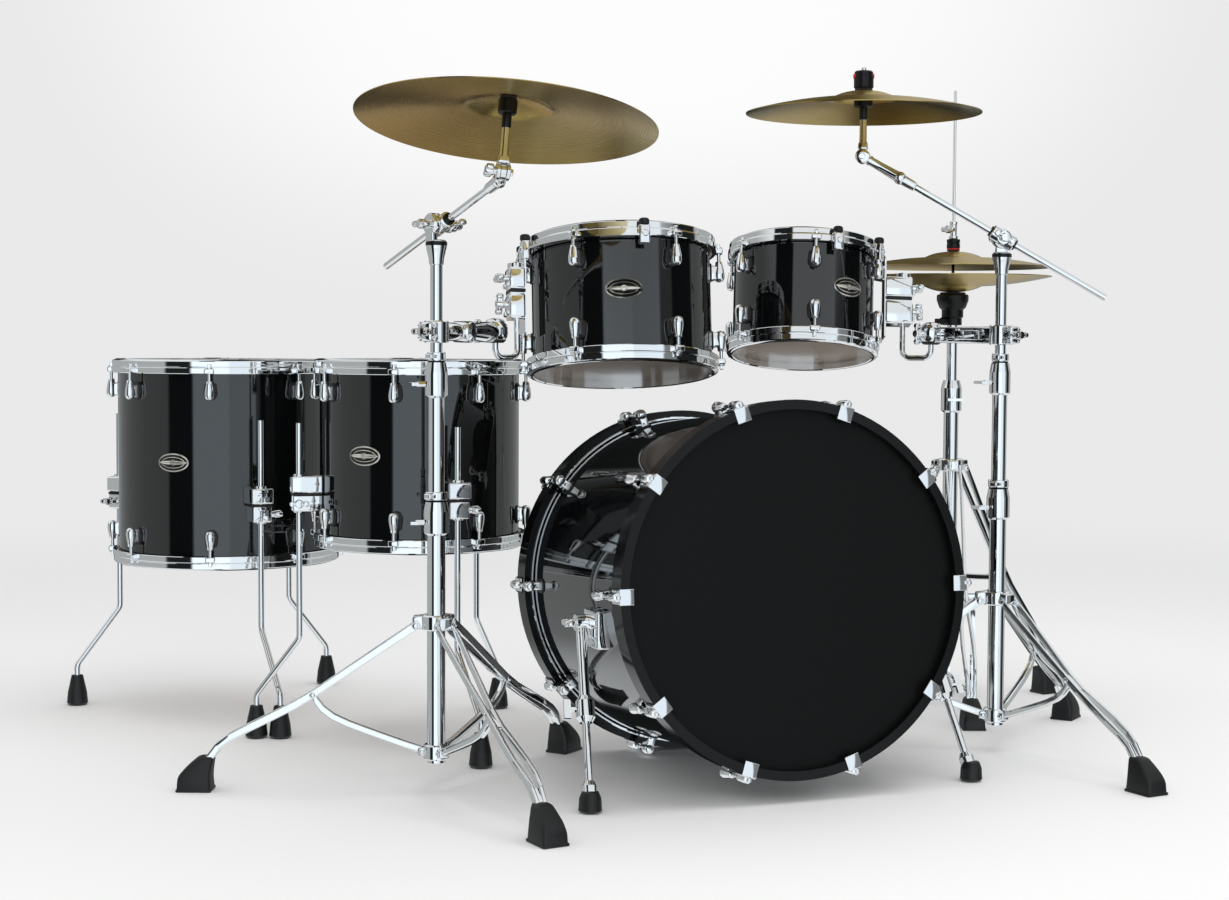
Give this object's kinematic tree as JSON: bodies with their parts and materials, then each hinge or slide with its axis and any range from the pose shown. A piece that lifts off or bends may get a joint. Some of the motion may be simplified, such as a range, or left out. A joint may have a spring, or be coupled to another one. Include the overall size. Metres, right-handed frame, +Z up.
{
  "type": "acoustic drum kit",
  "caption": "Black lacquered acoustic drum kit with chrome hardware: bass drum, rack toms, floor toms, boom cymbals and a hi-hat.",
  "frame": {"origin": "on the floor, under the middle of the kit's bounding box", "axes": "+Z up; +X to the audience's right, across the front of the bass drum; +Y from the audience back to the drummer"},
  "size_m": [1.9242, 1.507, 1.205],
  "materials": {
    "black_lacquer": "gloss black lacquer over wood",
    "black_hoop": "gloss black lacquer",
    "black_head": "satin plastic film",
    "clear_head": "clear and coated plastic film",
    "chrome": "polished chrome",
    "bronze": "lathed bronze",
    "black_rubber": "moulded",
    "black_plastic": "moulded"
  },
  "bodies": {
    "kit": {"bass_shell": "black_lacquer", "bass_hoops": "black_hoop", "bass_heads": "black_head", "bass_claws": "chrome", "bass_lugs_and_spur_brackets": "chrome", "floor_tom_16_shell": "black_lacquer", "floor_tom_16_hoops": "chrome", "floor_tom_16_heads": "clear_head", "floor_tom_16_lugs_and_leg_brackets": "chrome", "floor_tom_14_shell": "black_lacquer", "floor_tom_14_hoops": "chrome", "floor_tom_14_heads": "clear_head", "floor_tom_14_lugs_and_leg_brackets": "chrome", "left_stand_base_tube": "chrome", "left_stand_tripod": "chrome", "right_stand_base_tube": "chrome", "right_stand_tripod": "chrome", "hihat_base_tube_and_frame": "chrome", "hihat_tripod": "chrome", "tripod_feet": "black_rubber"},
    "floor_tom_16_legs": {"floor_tom_16_legs": "chrome", "floor_tom_16_feet": "black_rubber"},
    "floor_tom_14_legs": {"floor_tom_14_legs": "chrome", "floor_tom_14_feet": "black_rubber"},
    "spur_left": {"spur_left_tube": "chrome"},
    "spur_left_extension": {"spur_left_rod": "chrome", "spur_left_foot": "black_rubber"},
    "spur_right": {"spur_right_tube": "chrome"},
    "spur_right_extension": {"spur_right_rod": "chrome", "spur_right_foot": "black_rubber"},
    "rack_tom_12": {"rack_tom_12_shell": "black_lacquer", "rack_tom_12_hoops": "chrome", "rack_tom_12_heads": "clear_head", "rack_tom_12_lugs": "chrome", "rack_tom_12_mount": "chrome"},
    "rack_tom_10": {"rack_tom_10_shell": "black_lacquer", "rack_tom_10_hoops": "chrome", "rack_tom_10_heads": "clear_head", "rack_tom_10_lugs": "chrome", "rack_tom_10_mount": "chrome"},
    "left_stand_middle": {"left_stand_middle_tube": "chrome"},
    "left_stand_upper": {"left_stand_upper_tube": "chrome"},
    "left_stand_tilter": {"left_stand_boom_tilter": "chrome"},
    "left_stand_boom": {"left_stand_boom": "chrome"},
    "left_stand_stem": {"left_stand_cymbal_stem": "chrome"},
    "left_stand_cymbal": {"left_stand_cymbal": "bronze"},
    "left_stand_tom_arm": {"left_stand_tom_arm": "chrome"},
    "right_stand_middle": {"right_stand_middle_tube": "chrome"},
    "right_stand_upper": {"right_stand_upper_tube": "chrome"},
    "right_stand_tilter": {"right_stand_boom_tilter": "chrome"},
    "right_stand_boom": {"right_stand_boom": "chrome"},
    "right_stand_stem": {"right_stand_cymbal_stem": "chrome"},
    "right_stand_cymbal": {"right_stand_cymbal": "bronze"},
    "right_stand_tom_arm": {"right_stand_tom_arm": "chrome"},
    "hihat_upper": {"hihat_upper_tube": "chrome", "hihat_seat": "black_plastic", "hihat_bottom_cymbal": "bronze"},
    "hihat_pull": {"hihat_pull_rod": "chrome", "hihat_top_cymbal": "bronze"},
    "hihat_pedal": {"hihat_footboard": "chrome"}
  },
  "joints": [
    {"name": "left_stand_lower_height", "type": "slide", "parent": "kit", "child": "left_stand_middle", "axis": [0, 0, 1], "range_m": [0, 0.1]},
    {"name": "left_stand_upper_height", "type": "slide", "parent": "left_stand_middle", "child": "left_stand_upper", "axis": [0, 0, 1], "range_m": [0, 0.1]},
    {"name": "left_stand_boom_tilt", "type": "hinge", "parent": "left_stand_upper", "child": "left_stand_tilter", "pos_m": [-0.50228, -0.33125, 0.895], "axis": [0.9527, 0.304, 0], "range_deg": [-10, 10]},
    {"name": "left_stand_boom_slide", "type": "slide", "parent": "left_stand_tilter", "child": "left_stand_boom", "axis": [0.2838, -0.8894, 0.3584], "range_m": [-0.03, 0.03]},
    {"name": "left_stand_cymbal_tilt", "type": "hinge", "parent": "left_stand_boom", "child": "left_stand_stem", "pos_m": [-0.44933, -0.5016, 0.96608], "axis": [-0.985, 0.1385, 0.1028], "range_deg": [-10, 10]},
    {"name": "left_stand_cymbal_spin", "type": "hinge", "parent": "left_stand_stem", "child": "left_stand_cymbal", "pos_m": [-0.44018, -0.49125, 1.0398], "axis": [0.122, 0.138, 0.9829], "continuous": true},
    {"name": "left_stand_tom_arm_swing", "type": "hinge", "parent": "left_stand_upper", "child": "left_stand_tom_arm", "pos_m": [-0.50228, -0.33125, 0.728], "axis": [0, 0, 1], "range_deg": [-10, 3]},
    {"name": "rack_tom_12_tilt", "type": "hinge", "parent": "left_stand_tom_arm", "child": "rack_tom_12", "pos_m": [-0.35944, -0.18841, 0.728], "axis": [1, 0, 0], "range_deg": [-8, 8]},
    {"name": "right_stand_lower_height", "type": "slide", "parent": "kit", "child": "right_stand_middle", "axis": [0, 0, 1], "range_m": [0, 0.1]},
    {"name": "right_stand_upper_height", "type": "slide", "parent": "right_stand_middle", "child": "right_stand_upper", "axis": [0, 0, 1], "range_m": [0, 0.1]},
    {"name": "right_stand_boom_tilt", "type": "hinge", "parent": "right_stand_upper", "child": "right_stand_tilter", "pos_m": [0.50672, -0.35125, 0.895], "axis": [-0.4147, -0.91, 0], "range_deg": [-10, 10]},
    {"name": "right_stand_boom_slide", "type": "slide", "parent": "right_stand_tilter", "child": "right_stand_boom", "axis": [-0.7873, 0.3588, 0.5015], "range_m": [-0.03, 0.03]},
    {"name": "right_stand_cymbal_tilt", "type": "hinge", "parent": "right_stand_boom", "child": "right_stand_stem", "pos_m": [0.28812, -0.24995, 1.0356], "axis": [0.5578, 0.83, 0], "range_deg": [-10, 10]},
    {"name": "right_stand_cymbal_spin", "type": "hinge", "parent": "right_stand_stem", "child": "right_stand_cymbal", "pos_m": [0.28812, -0.24995, 1.1106], "axis": [0, 0, 1], "continuous": true},
    {"name": "right_stand_tom_arm_swing", "type": "hinge", "parent": "right_stand_upper", "child": "right_stand_tom_arm", "pos_m": [0.50672, -0.35125, 0.728], "axis": [0, 0, 1], "range_deg": [-5, 5]},
    {"name": "rack_tom_10_tilt", "type": "hinge", "parent": "right_stand_tom_arm", "child": "rack_tom_10", "pos_m": [0.46961, -0.17665, 0.728], "axis": [-0.8016, 0.5978, 0], "range_deg": [-8, 8]},
    {"name": "hihat_height", "type": "slide", "parent": "kit", "child": "hihat_upper", "axis": [0, 0, 1], "range_m": [0, 0.03]},
    {"name": "hihat_pull", "type": "slide", "parent": "hihat_upper", "child": "hihat_pull", "axis": [0, 0, 1], "range_m": [-0.0146, 0], "stiffness_N_per_m": 400, "springref_m": 0.075},
    {"name": "hihat_pedal", "type": "hinge", "parent": "kit", "child": "hihat_pedal", "pos_m": [0.76709, 0.34986, 0.024], "axis": [-0.9379, 0.3469, 0], "range_deg": [-3.1, 0]},
    {"name": "spur_left_fold", "type": "hinge", "parent": "kit", "child": "spur_left", "pos_m": [-0.29198, -0.41925, 0.272], "axis": [1, 0, 0], "range_deg": [0, 65]},
    {"name": "spur_left_extend", "type": "slide", "parent": "spur_left", "child": "spur_left_extension", "axis": [-0.1077, -0.4474, -0.8878], "range_m": [0, 0.08]},
    {"name": "spur_right_fold", "type": "hinge", "parent": "kit", "child": "spur_right", "pos_m": [0.30942, -0.41925, 0.272], "axis": [1, 0, 0], "range_deg": [0, 65]},
    {"name": "spur_right_extend", "type": "slide", "parent": "spur_right", "child": "spur_right_extension", "axis": [0.1077, -0.4474, -0.8878], "range_m": [0, 0.08]},
    {"name": "floor_tom_16_height", "type": "slide", "parent": "kit", "child": "floor_tom_16_legs", "axis": [0, 0, 1], "range_m": [0, 0.05]},
    {"name": "floor_tom_14_height", "type": "slide", "parent": "kit", "child": "floor_tom_14_legs", "axis": [0, 0, 1], "range_m": [0, 0.05]}
  ],
  "couplings": [
    {"joint": "hihat_pedal", "follows": "hihat_pull", "rad_per_m": 3.7037}
  ]
}
